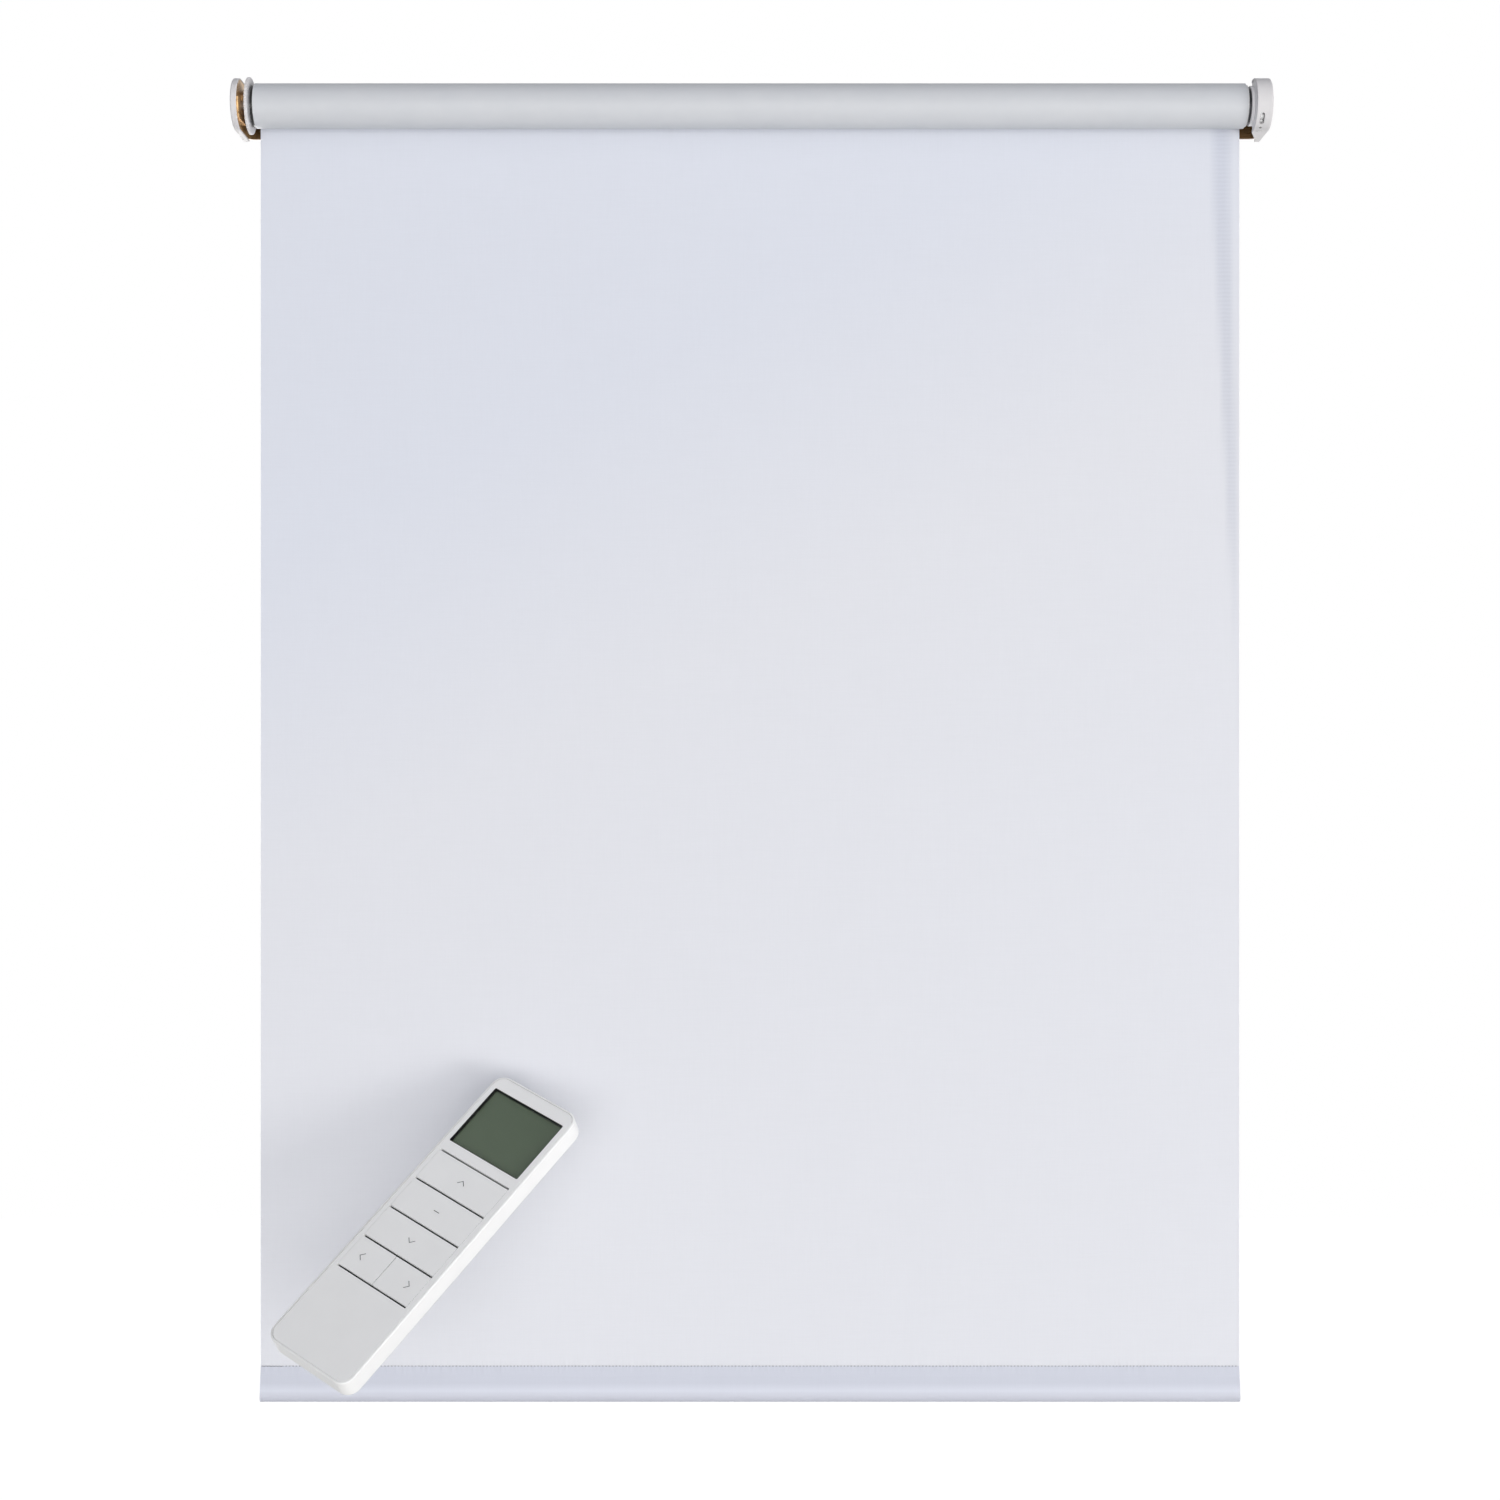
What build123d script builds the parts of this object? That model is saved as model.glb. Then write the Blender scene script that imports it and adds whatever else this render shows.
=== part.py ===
from build123d import *
import math
import os

# A motorized roller blind on two wall brackets, with its battery motor in the tube and its hand-held
# remote control. Millimetres. +X runs along the roller to the right, +Y goes into the wall and +Z goes up.
# The origin is the middle of the four wall screws: the wall's face is y = 0, and the roller is at z = 0.

# Roller, cloth and drop
tube_length = 575.0
tube_diameter = 25.0
tube_wall = 1.0
cloth_thickness = 0.35
drop = 758.0
hem_height = 21.0
axis_to_wall = 20.0

# Brackets: a folded steel plate with a moulded cover
above_casing = 4.4
below_casing = 6.0
nose = 20.0
plate = 1.5
bend_radius = 4.0
foot_reach = 7.0
hole_inset = 8.5
hole_spacing = 16.0
wall_hole = 4.5
left_gap = 7.9
left_cover_depth = 3.6
left_cover_wall = 0.9
right_gap = 4.3
right_cover_depth = 9.2
right_cover_wall = 1.4
collar_reach = 1.4
collar_wall = 1.4
cover_edge = 1.0
rim_edge = 0.3

# Idler end: plug, bearing, sleeve, spindle and adjusting wheel
plug_length = 30.0
flange_thickness = 1.9
flange_setback = 0.6
bearing_bore = 10.0
bearing_outside = 19.0
bearing_width = 5.0
ball_diameter = 2.4
ball_count = 12
pin_diameter = 6.0
flat_cut = 0.6
spindle_travel = 5.0
wheel_thickness = 1.7
wheel_gap = 2.2
wheel_grips = 36

# Motor, cells and gearbox in the tube
crown_wall = 1.5
crown_flange = 1.1
casing_wall = 0.7
cell_diameter = 14.2
cell_length = 49.5
cell_count = 3
board_length = 80.0
motor_length = 32.0
bush_length = 36.0
crown_length = 24.0
drive_wheel_width = 12.0
shaft_diameter = 6.0
key_width = 3.0
key_height = 0.9
ring_wall = 0.9
sun_teeth = 12
planet_teeth = 18
ring_teeth = 48
gear_width = 4.5
planet_pin = 1.6

# Hem
hem_radius = 4.0
bar_wall = 1.0
cap_thickness = 1.5

# Remote control, drawn face up with its display end at +Y, then set in its place
handset_length = 200.0
handset_width = 61.2
handset_corner = 8.0
face_thickness = 2.2
shell_wall = 1.8
rim_width = 1.2
rim_groove = 0.2
display_width = 52.0
display_height = 41.5
display_top = 9.5
keys_top = 58.2
key_pitch = 21.85
keys_width = 52.4
slot_width = 1.2
key_thickness = 1.6
key_side_gap = 0.1
aaa_diameter = 10.2
aaa_length = 44.0
cell_room = 0.325
door_width = 30.0
door_thickness = 1.35
handset_place = (-180.0, -88.0, -638.0)
handset_turn = 12.66
handset_lean = 42.4
handset_roll = 28.3

# Clearances
running = 0.06
snug = 0.05
loose = 0.3
contact = 0.1

# Places that follow from the sizes above
axis_y = -axis_to_wall
tube_end = tube_length / 2
tube_radius = tube_diameter / 2
tube_bore = tube_radius - tube_wall
roll_radius = tube_radius + cloth_thickness
cloth_y = axis_y + roll_radius + loose + cloth_thickness / 2
stitch_z = hem_height - drop
wall_hole_x = tube_end - hole_inset
foot_end = wall_hole_x - foot_reach
left_plate_in = -(tube_end + left_gap)
left_outside = left_plate_in - left_cover_depth
right_inside = tube_end + right_gap
right_outside = right_inside + right_cover_depth
right_plate_out = right_outside - right_cover_wall - 0.4
wheel_radius = axis_to_wall - plate - wheel_gap
casing_radius = tube_bore - crown_wall
casing_bore = casing_radius - casing_wall
bracket_height = 2 * casing_radius + above_casing + below_casing
bracket_top = casing_radius + above_casing
bracket_bottom = bracket_top - bracket_height
handset_thickness = face_thickness + aaa_diameter + 2 * cell_room + door_thickness

os.makedirs("parts", exist_ok=True)


def save(name, *solids):
    """Write one node."""
    whole = solids[0] if len(solids) == 1 else Compound(children=list(solids))
    export_step(whole, f"parts/{name}.step")


def slab(x_range, y_range, z_range):
    """A box between three pairs of planes."""
    sizes = [abs(b - a) for a, b in (x_range, y_range, z_range)]
    middle = [(a + b) / 2 for a, b in (x_range, y_range, z_range)]
    return Pos(*middle) * Box(*sizes)


def disc(x_from, x_to, radius, y=axis_y, z=0.0):
    """A round piece that lies along X, on the roller's axis unless told otherwise."""
    return Pos((x_from + x_to) / 2, y, z) * Rot(0, 90, 0) * Cylinder(radius, abs(x_to - x_from))


def ring(x_from, x_to, radius, bore):
    """A tube on the roller's axis."""
    return disc(x_from, x_to, radius) - disc(x_from - 1, x_to + 1, bore)


def across(outline, x_from, x_to):
    """Draw a side view, in Y and Z, out along X."""
    return Pos(x_from, 0, 0) * extrude(Plane.YZ * outline, x_to - x_from, dir=(1, 0, 0))


def bracket_section(inset, back=0.0):
    """The bracket's side view: flat on top, below and at the wall, and round at the front."""
    radius = bracket_height / 2 - inset
    middle = bracket_top - bracket_height / 2
    centre = axis_y - nose + bracket_height / 2
    top = middle + radius
    bottom = middle - radius
    return make_face(
        [
            Line((back, bottom), (back, top)),
            Line((back, top), (centre, top)),
            ThreePointArc((centre, top), (centre - radius, middle), (centre, bottom)),
            Line((centre, bottom), (back, bottom)),
        ]
    )


def bracket_plate(side, outer_face, inset):
    """A steel strip bent round into the foot that is screwed to the wall."""
    middle = side * (outer_face - plate / 2)
    strip = trace(
        FilletPolyline(
            (middle, axis_y - nose),
            (middle, -plate / 2),
            (side * foot_end, -plate / 2),
            radius=bend_radius + plate / 2,
        ),
        line_width=plate,
    )
    bent = Pos(0, 0, bracket_bottom) * extrude(strip, bracket_height, dir=(0, 0, 1))
    reach = outer_face + 1
    folded = bent & across(bracket_section(inset), -reach, reach)
    for z in (-hole_spacing / 2, hole_spacing / 2):
        folded -= Pos(side * wall_hole_x, 0, z) * Rot(90, 0, 0) * Cylinder(wall_hole / 2, 4 * plate)
    return folded


def on_nose(angle, depth=0.0):
    """A plane on the right cover's round front, below the level of its middle by an angle in degrees."""
    radius = bracket_height / 2 - depth
    turn = math.radians(angle)
    centre = axis_y - nose + bracket_height / 2
    middle = bracket_top - bracket_height / 2
    outward = Vector(0, -math.cos(turn), -math.sin(turn))
    origin = Vector(right_inside + head_thickness / 2 + 0.6, centre, middle) + outward * radius
    return Plane(origin=origin, x_dir=(1, 0, 0), z_dir=outward)


# Left bracket, for the idler end: the plate is let into its cover, flush with the rim.
left_inset = left_cover_wall + contact
left_plate_out = left_plate_in - plate
bracket_left = bracket_plate(-1, -left_plate_out, left_inset)
bracket_left -= disc(left_plate_out - 1, left_plate_in + 1, pin_diameter / 2 + running)
save("bracket_left", bracket_left)

cover_left = across(bracket_section(0), left_outside, left_plate_in)
cover_left = fillet(cover_left.faces().sort_by(Axis.X)[0].edges(), cover_edge)
cover_left = fillet(cover_left.faces().sort_by(Axis.X)[-1].edges(), rim_edge)
cover_left -= across(bracket_section(left_cover_wall, back=5), left_plate_out - 0.2, left_plate_in + 1)
pin_room = 1.2
cover_left -= disc(left_plate_out - pin_room - 0.2, left_plate_in, pin_diameter / 2 + loose)
save("bracket_cover_left", cover_left)

# The keeper plate that the idler pin seats in, with a fold line near its lower edge.
keeper = 1.0
keeper_top = 1.1
keeper_bottom = -10.2
keeper_margin = 0.6
boss_width = 3.0
fold_z = -7.6
fold_width = 0.6
keeper_height = keeper_top - keeper_bottom
strip = Pos(axis_y - nose / 2, (keeper_top + keeper_bottom) / 2) * Rectangle(1.5 * nose, keeper_height)
keeper_outline = strip + Pos(axis_y, 0) * Circle(pin_diameter / 2 + boss_width)
keeper_outline &= bracket_section(left_inset + keeper_margin)
pin_socket = across(keeper_outline, left_plate_in, left_plate_in + keeper)
pin_socket -= disc(left_plate_in - 1, left_plate_in + keeper + 1, pin_diameter / 2 + running)
pin_socket -= slab(
    (left_plate_in + keeper / 2, left_plate_in + keeper + 1),
    (axis_y - nose - 1, 0),
    (fold_z - fold_width / 2, fold_z + fold_width / 2),
)
save("pin_socket", pin_socket)

# Right bracket: the plate stands behind the motor's head, and the cover closes over both.
right_inset = right_cover_wall + contact
head_inside = right_inside + 0.2
right_plate_in = right_plate_out - plate
head_outside = right_plate_in - contact
head_thickness = head_outside - head_inside
head_back = -plate - bend_radius - 0.5
slant_front = axis_y - 2.0
slant_back = -3.0
screw_radius = 1.5
screw_head = 2.7
screw_margin = right_inset + screw_head + 1.3
screw_spots = ((axis_y + 6.8, -2.6), (axis_y - 8.0, bracket_top - screw_margin))
screw_reach = 4.3
recess_depth = 0.8
recess_reach = 1.3
recess_half = 0.25
bracket_right = bracket_plate(1, right_plate_out, right_inset)
for y, z in screw_spots:
    bracket_right -= disc(right_plate_in - 1, right_plate_out + 1, screw_radius + running, y, z)
    bracket_right -= (
        Pos(right_plate_out - plate / 2, y, z)
        * Rot(0, 90, 0)
        * Cone(screw_radius + 0.2, screw_head + 0.1, plate)
    )
save("bracket_right", bracket_right)

port_angle = 44.0
port_width = 2.6
port_length = 7.4
port_depth = 5.0
port_seat = 0.9
lens_radius = 0.8
lens_length = 2.2
lens_spacing = 5.8
lens_angle = port_angle + math.degrees(lens_spacing / (bracket_height / 2 - lens_length))
button_radius = 1.5
button_length = 2.8
button_stands_out = 0.3
button_spacing = 4.0
button_angle = lens_angle + math.degrees(button_spacing / (bracket_height / 2 - button_length))


def behind_slant(step):
    """The room behind a slant from the roller's side to the plate, where only the plate reaches the wall."""
    run = (right_plate_in - right_inside) / (slant_back - slant_front)
    corners = (
        (right_inside - 5 * run, slant_front - 5 + step),
        (right_plate_in, slant_back + step),
        (right_plate_in, 5),
        (right_inside - 5 * run, 5),
    )
    outline = make_face(Polyline(*corners, close=True))
    return Pos(0, 0, bracket_bottom - 1) * extrude(outline, bracket_height + 2, dir=(0, 0, 1))


cover_right = across(bracket_section(0), right_inside, right_outside)
cover_right = fillet(cover_right.faces().sort_by(Axis.X)[-1].edges(), cover_edge)
cover_right = fillet(cover_right.faces().sort_by(Axis.X)[0].edges(), rim_edge)
cover_right -= across(
    bracket_section(right_cover_wall, back=5), right_inside - 1, right_outside - right_cover_wall
)
port_mouth = on_nose(port_angle) * extrude(SlotOverall(port_length, port_width, 90), 3, both=True)
cover_right -= behind_slant(0)
cover_right -= port_mouth
cover_right -= on_nose(lens_angle) * Cylinder(lens_radius + snug, 8)
cover_right -= on_nose(button_angle) * Cylinder(button_radius + contact, 8)
save("bracket_cover_right", cover_right)

# The motor's head: the white block that the plate carries. A round boss holds the motor's casing, with a
# spigot inside it and a collar round it.
spigot_length = 8.0
boss_outside = casing_radius + collar_wall
collar_end = right_inside - collar_reach
motor_head = across(bracket_section(right_inset + snug, back=head_back), head_inside, head_outside)
motor_head -= behind_slant(-0.8)
motor_head += disc(head_inside, head_outside, boss_outside)
motor_head += disc(head_inside - spigot_length, head_inside + 0.2, casing_bore - snug)
collar = ring(collar_end, head_inside + 0.2, boss_outside, casing_radius + snug)
motor_head += fillet(collar.edges().group_by(Axis.X)[0].sort_by(SortBy.RADIUS)[-1], 0.3)
socket_plane = on_nose(port_angle, right_inset + port_seat)
pocket_depth = port_depth + port_seat
motor_head -= (
    on_nose(port_angle, right_inset)
    * Pos(0, 0, -pocket_depth / 2)
    * Box(port_width + 0.9, port_length + 0.9, pocket_depth)
)
motor_head -= on_nose(lens_angle) * Cylinder(lens_radius + snug, 2 * lens_length + 0.2)
motor_head -= on_nose(button_angle) * Cylinder(button_radius + contact, 8)
for y, z in screw_spots:
    motor_head -= disc(head_outside - screw_reach - 0.2, head_outside + 1, screw_radius + snug, y, z)
save("motor_head", motor_head)

# The socket is a steel tray with a tongue for its contacts, and its mouth faces down and forward.
socket_wall = 0.5
tongue_length = 3.6
tongue_z = socket_wall / 2 + tongue_length / 2 - port_depth
tray = Box(port_width + 0.8, port_length + 0.8, port_depth - contact)
hollow = Pos(0, 0, socket_wall) * Box(port_width - 0.2, port_length - 0.2, port_depth)
socket = Pos(0, 0, -port_depth / 2) * (tray - hollow)
socket += Pos(0, 0, tongue_z) * Box(0.7, port_length - 2.4, tongue_length)
save("charging_socket", socket_plane * socket)

lens_plane = on_nose(lens_angle)
lens = lens_plane * Pos(0, 0, (0.1 - lens_length) / 2) * Cylinder(lens_radius, lens_length + 0.1)
lens_rim = lens.edges().sort_by(lambda edge: (edge.center() - lens_plane.origin).dot(lens_plane.z_dir))[-1]
lens = fillet(lens_rim, 0.25)
save("indicator_lens", lens)

button_plane = on_nose(button_angle)
button_z = button_stands_out - button_length / 2
setting_button = button_plane * Pos(0, 0, button_z) * Cylinder(button_radius, button_length)
button_rim = setting_button.edges().sort_by(
    lambda edge: (edge.center() - button_plane.origin).dot(button_plane.z_dir)
)[-1]
setting_button = fillet(button_rim, 0.3)
save("setting_button", setting_button)

screws = []
cone_depth = plate - 0.2
recess_range = (right_plate_out - recess_depth, right_plate_out + 1)
for y, z in screw_spots:
    shank = disc(head_outside - screw_reach, right_plate_out - plate / 2, screw_radius, y, z)
    head = (
        Pos(right_plate_out - cone_depth / 2 - snug, y, z)
        * Rot(0, 90, 0)
        * Cone(screw_radius, screw_head, cone_depth)
    )
    screw = shank + head
    for reach_y, reach_z in ((recess_reach, recess_half), (recess_half, recess_reach)):
        screw -= slab(recess_range, (y - reach_y, y + reach_y), (z - reach_z, z + reach_z))
    screws.append(screw)
save("head_screws", *screws)

# What the motor's casing holds, from the head inwards.
tab = 0.4
tab_radius = 4.0
nub_radius = 2.8
nub_height = 1.2
cell_step = cell_length + tab + 2 * snug
cells_right = head_inside - spigot_length - 3.0
cells = []
tabs = []
for index in range(cell_count + 1):
    end = cells_right - index * cell_step
    tabs.append(disc(end, end + tab, tab_radius))
    if index < cell_count:
        nub_end = end - snug - cell_length
        can = disc(nub_end + nub_height, end - snug, cell_diameter / 2)
        can = fillet(can.edges().filter_by(GeomType.CIRCLE), 0.5)
        cells.append(can + disc(nub_end, nub_end + nub_height + 0.1, nub_radius))
cells_left = cells_right - cell_count * cell_step
save("battery_cells", *cells)
save("battery_tabs", *tabs)

cradle_wall = 1.2
cradle = ring(cells_left - cradle_wall, cells_right + 1, casing_bore - contact, cell_diameter / 2 + contact)
cradle += disc(cells_left - cradle_wall - 0.2, cells_left - 0.2, casing_bore - contact)
cradle -= slab(
    (cells_left - 5, cells_right + 5),
    (axis_y - casing_radius, axis_y + casing_radius),
    (casing_radius * 0.25, casing_radius + 1),
)
save("battery_cradle", cradle)

board_right = cells_left - cradle_wall - 2
board_left = board_right - board_length
board_half = casing_bore - 0.3
board = slab((board_left, board_right), (axis_y - board_half, axis_y + board_half), (-0.6, 0.6))
chips = ((8, 6, 1.8), (24, 9, 1.2), (40, 5, 2.6), (56, 10, 1.5), (70, 6, 3.4))
for place, size, height in chips:
    x = board_right - place
    board += slab((x - size / 2, x + size / 2), (axis_y - 4.2, axis_y + 3.4), (0.5, 0.6 + height))
antenna = slab((board_left + 2, board_left + 30), (axis_y + 5, axis_y + 5.8), (-1.6, -0.5))
save("control_board", board + antenna)

motor_right = board_left - 3
motor_left = motor_right - motor_length
boss_length = 1.5
rotor_shaft = 1.0
rotor_depth = 5.5
terminal_spread = 5.0
motor_can = disc(motor_left, motor_right, casing_bore - loose)
motor_can = fillet(motor_can.edges().filter_by(GeomType.CIRCLE), 0.8)
motor_can += disc(motor_left - boss_length, motor_left, 3.0)
motor_can += disc(motor_right, motor_right + 1.2, 2.5)
for y in (axis_y - terminal_spread, axis_y + terminal_spread):
    motor_can += slab((motor_right - 0.5, motor_right + 2.4), (y - 0.4, y + 0.4), (-1.4, 1.4))
motor_can -= disc(motor_left - boss_length - 1, motor_left + rotor_depth + 0.5, rotor_shaft + running)
save("motor_can", motor_can)

# Gears. The teeth are involutes drawn with straight lines and a little backlash, and their module is
# the one at which the ring gear fills the casing.
root_share = 1.3
tip_share = 0.85
module = (casing_bore - snug - ring_wall) / (ring_teeth / 2 + root_share)
pressure = math.radians(20)
tooth_pitch = math.pi * module
backlash = 0.1
addendum = tip_share * module
dedendum = root_share * module
sun_radius = module * sun_teeth / 2
planet_radius = module * planet_teeth / 2
ring_radius = module * ring_teeth / 2
orbit = sun_radius + planet_radius
planet_angles = (0, 120, 240)


def involute(angle):
    """The involute function of an angle in radians."""
    return math.tan(angle) - angle


def gear_outline(teeth, root, tip, thickness, start):
    """A gear's outline about the origin, with the middle of one tooth at the start angle in radians."""
    pitch_radius = module * teeth / 2
    base = pitch_radius * math.cos(pressure)
    radii = [root + (tip - root) * share for share in (0, 0.3, 0.65, 1)]
    halves = []
    for radius in radii:
        slope = math.acos(base / max(radius, base))
        halves.append(thickness / (2 * pitch_radius) + involute(pressure) - involute(slope))
    flank = list(zip(radii, halves))
    points = []
    for tooth in range(teeth):
        middle = start + 2 * math.pi * tooth / teeth
        for radius, half in flank:
            points.append((radius * math.cos(middle - half), radius * math.sin(middle - half)))
        for radius, half in reversed(flank):
            points.append((radius * math.cos(middle + half), radius * math.sin(middle + half)))
    return make_face(Polyline(*points, close=True))


def outside_gear(teeth, x_from, x_to, start=0.0, y=axis_y, z=0.0):
    """A gear with outward teeth, along X."""
    radius = module * teeth / 2
    outline = gear_outline(teeth, radius - dedendum, radius + addendum, tooth_pitch / 2 - backlash, start)
    return across(Pos(y, z) * outline, x_from, x_to)


def planet_centre(angle):
    """Where a planet gear's axis stands, in Y and Z."""
    turn = math.radians(angle)
    return axis_y + orbit * math.cos(turn), orbit * math.sin(turn)


def planet_gear(angle, x_from, x_to):
    """A planet gear with a tooth gap towards the sun gear and another towards the ring gear."""
    y, z = planet_centre(angle)
    start = math.radians(angle) + math.pi / planet_teeth
    gear = outside_gear(planet_teeth, x_from, x_to, start, y, z)
    return gear - disc(x_from - 1, x_to + 1, planet_pin / 2 + running, y, z)


def carrier_plate(x_from, x_to, pins_to):
    """A carrier: a disc with a pin for each planet gear."""
    plate_disc = disc(x_from, x_to, ring_radius - addendum - 0.6)
    for angle in planet_angles:
        y, z = planet_centre(angle)
        plate_disc += disc(x_to - 0.2, pins_to, planet_pin / 2, y, z)
    return plate_disc


stage_gap = 0.5
carrier_thickness = 1.5
gears_right = motor_left - boss_length - 0.6
stage_1 = (gears_right - gear_width, gears_right)
carrier_1_right = stage_1[0] - stage_gap
carrier_1_left = carrier_1_right - carrier_thickness
stage_2 = (carrier_1_left - stage_gap - gear_width, carrier_1_left - stage_gap)
carrier_2_right = stage_2[0] - stage_gap
carrier_2_left = carrier_2_right - carrier_thickness
ring_gear_left = carrier_2_left - 0.3
ring_gear_right = motor_left - 0.3

rotor = disc(stage_1[0], motor_left + rotor_depth, rotor_shaft)
rotor += outside_gear(sun_teeth, *stage_1)
save("rotor_pinion", rotor)

carrier_1 = carrier_plate(carrier_1_left, carrier_1_right, stage_1[1] + 0.2)
carrier_1 += outside_gear(sun_teeth, stage_2[0], carrier_1_left + 0.2)
save("first_carrier", carrier_1)

for letter, angle in zip("abc", planet_angles):
    save(f"first_planet_{letter}", planet_gear(angle, *stage_1))
    save(f"second_planet_{letter}", planet_gear(angle, *stage_2))

ring_hole = gear_outline(
    ring_teeth,
    ring_radius - addendum,
    ring_radius + dedendum,
    tooth_pitch / 2 + backlash / 2,
    math.pi / ring_teeth,
)
ring_gear = disc(ring_gear_left, ring_gear_right, casing_bore - snug)
ring_gear -= across(Pos(axis_y, 0) * ring_hole, ring_gear_left - 1, ring_gear_right + 1)
save("ring_gear", ring_gear)

# The long steel casing ends at a bush. The output shaft turns in the bush and carries the drive wheel.
bush_right = ring_gear_left - 0.2
bush_left = bush_right - bush_length
casing_left = bush_left
save("motor_casing", ring(casing_left, head_inside, casing_radius, casing_bore))

drive_right = casing_left - 4.0
drive_left = drive_right - drive_wheel_width
shaft_left = drive_left - 2.5
flat_depth = 1.0


def shaft_flat(x_from, x_to, depth):
    """The piece that a flat takes off the shaft's top."""
    radius = shaft_diameter / 2
    return slab((x_from, x_to), (axis_y - radius, axis_y + radius), (radius - depth, radius + 1))


output_bush = ring(bush_left, bush_right, casing_bore - snug, shaft_diameter / 2 + running)
output_bush += ring(bush_left - 1.5, bush_left, casing_radius - contact, shaft_diameter / 2 + running)
save("output_bush", output_bush)

output_shaft = carrier_plate(carrier_2_left, carrier_2_right, stage_2[1] + 0.2)
output_shaft += disc(shaft_left, carrier_2_left + 0.2, shaft_diameter / 2)
output_shaft -= shaft_flat(shaft_left - 1, drive_right + 0.3, flat_depth)
save("output_shaft", output_shaft)

# The tube has a rib along its bore, and every wheel in it has a notch for that rib.
rib_angle = math.radians(-90)


def rib(inner, outer, width, x_from, x_to):
    """The tube's rib, or the notch for it."""
    bar = slab((x_from, x_to), (inner, outer), (-width / 2, width / 2))
    return Pos(0, axis_y, 0) * Rot(math.degrees(rib_angle), 0, 0) * bar


def in_tube(shape, x_from, x_to):
    """Notch a wheel for the tube's rib."""
    notch = rib(
        tube_bore - key_height - contact,
        tube_bore + 2,
        key_width + 2 * contact,
        min(x_from, x_to) - 1,
        max(x_from, x_to) + 1,
    )
    return shape - notch


roller_tube = ring(-tube_end, tube_end, tube_radius, tube_bore)
roller_tube += rib(tube_bore - key_height, tube_bore + tube_wall / 2, key_width, -tube_end, tube_end)
save("roller_tube", roller_tube)

drive_wheel = in_tube(disc(drive_left, drive_right, tube_bore - snug), drive_left, drive_right)
shaft_hole = disc(drive_left - 1, drive_right + 1, shaft_diameter / 2 + 0.02)
shaft_hole -= shaft_flat(drive_left - 1, drive_right + 1, flat_depth - 0.05)
drive_wheel -= shaft_hole
for turn in range(6):
    spoke = Rot(30 + 60 * turn, 0, 0) * Pos(0, (tube_bore + shaft_diameter / 2) / 2, 0)
    pocket = spoke * Rot(0, 90, 0) * Cylinder(2.2, drive_wheel_width - 4)
    drive_wheel -= Pos(drive_right - drive_wheel_width / 2 + 2.5, axis_y, 0) * pocket
save("drive_wheel", drive_wheel)

# The crown turns on the motor's casing, with a thin flange against the tube's end.
crown_left = tube_end - crown_length
crown = ring(crown_left, tube_end, tube_bore - snug, casing_radius + running)
crown = in_tube(crown, crown_left, tube_end)
crown += ring(tube_end, tube_end + crown_flange, tube_radius - flange_setback, casing_radius + running)
save("crown", crown)

# The first turn of cloth on the tube, lapped once. The hanging cloth leaves it at the back.
save("cloth_wrap", ring(-tube_end, tube_end, roll_radius, tube_radius))

# Idler plug, with its flange against the tube's end and the bearing let into it.
plug_right = -tube_end + plug_length
flange_left = -tube_end - flange_thickness
bearing_left = flange_left + 0.4
bearing_right = bearing_left + bearing_width
plug = ring(-tube_end, plug_right, tube_bore - snug, bearing_outside / 2 - 1)
plug = in_tube(plug, -tube_end, plug_right)
flange = ring(flange_left, -tube_end, tube_radius - flange_setback, bearing_outside / 2 - 1)
plug += fillet(flange.edges().filter_by(GeomType.CIRCLE).sort_by(Axis.X)[0:2], 0.3)
plug -= disc(flange_left - 1, bearing_right, bearing_outside / 2 + 0.02)
save("idler_plug", plug)

race_radius = (bearing_bore + bearing_outside) / 4
race_middle = (bearing_left + bearing_right) / 2
groove = Pos(race_middle, axis_y, 0) * Rot(0, 90, 0) * Torus(race_radius, ball_diameter / 2 + 0.05)
race_gap = 0.9
outer_ring = ring(bearing_left, bearing_right, bearing_outside / 2, race_radius + race_gap) - groove
save("bearing_outer_ring", outer_ring)
inner_ring = ring(bearing_left, bearing_right, race_radius - race_gap, bearing_bore / 2) - groove
save("bearing_inner_ring", inner_ring)

cage = ring(race_middle - 1.6, race_middle + 1.6, race_radius + 0.5, race_radius - 0.5)
balls = []
for index in range(ball_count):
    turn = Pos(race_middle, axis_y, 0) * Rot(360 / ball_count * index, 0, 0) * Pos(0, race_radius, 0)
    balls.append(turn * Sphere(ball_diameter / 2))
    cage -= turn * Sphere(ball_diameter / 2 + 0.06)
save("bearing_balls", cage, *balls)

cap_left = flange_left - 0.4
save("bearing_cap", ring(cap_left, flange_left, bearing_outside / 2 + 1.6, bearing_outside / 2 - 1.6))

# Sleeve through the bearing, which doesn't turn, and the threaded spindle that slides in it on two flats.
# Only the spindle's tip is round, and it stays out of the sleeve when the wheel has drawn it right in.
wheel_right = cap_left - loose
wheel_left = wheel_right - wheel_thickness
hub_left = wheel_left - 1.3
hub_radius = pin_diameter / 2 + 2.6
tip_left = left_plate_out - pin_room
tip_right = cap_left - spindle_travel - 0.2
spindle_length = 28.0
spindle_right = tip_left + spindle_length
pin_radius = pin_diameter / 2
flat_half = pin_radius - flat_cut
sleeve_right = spindle_right + spindle_travel + 1.5
sleeve_end = 1.2
sleeve_collar = 1.0


def two_flats(x_from, x_to, radius, half):
    """A bar with a flat above and a flat below."""
    return disc(x_from, x_to, radius) & slab((x_from, x_to), (axis_y - 20, axis_y + 20), (-half, half))


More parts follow.
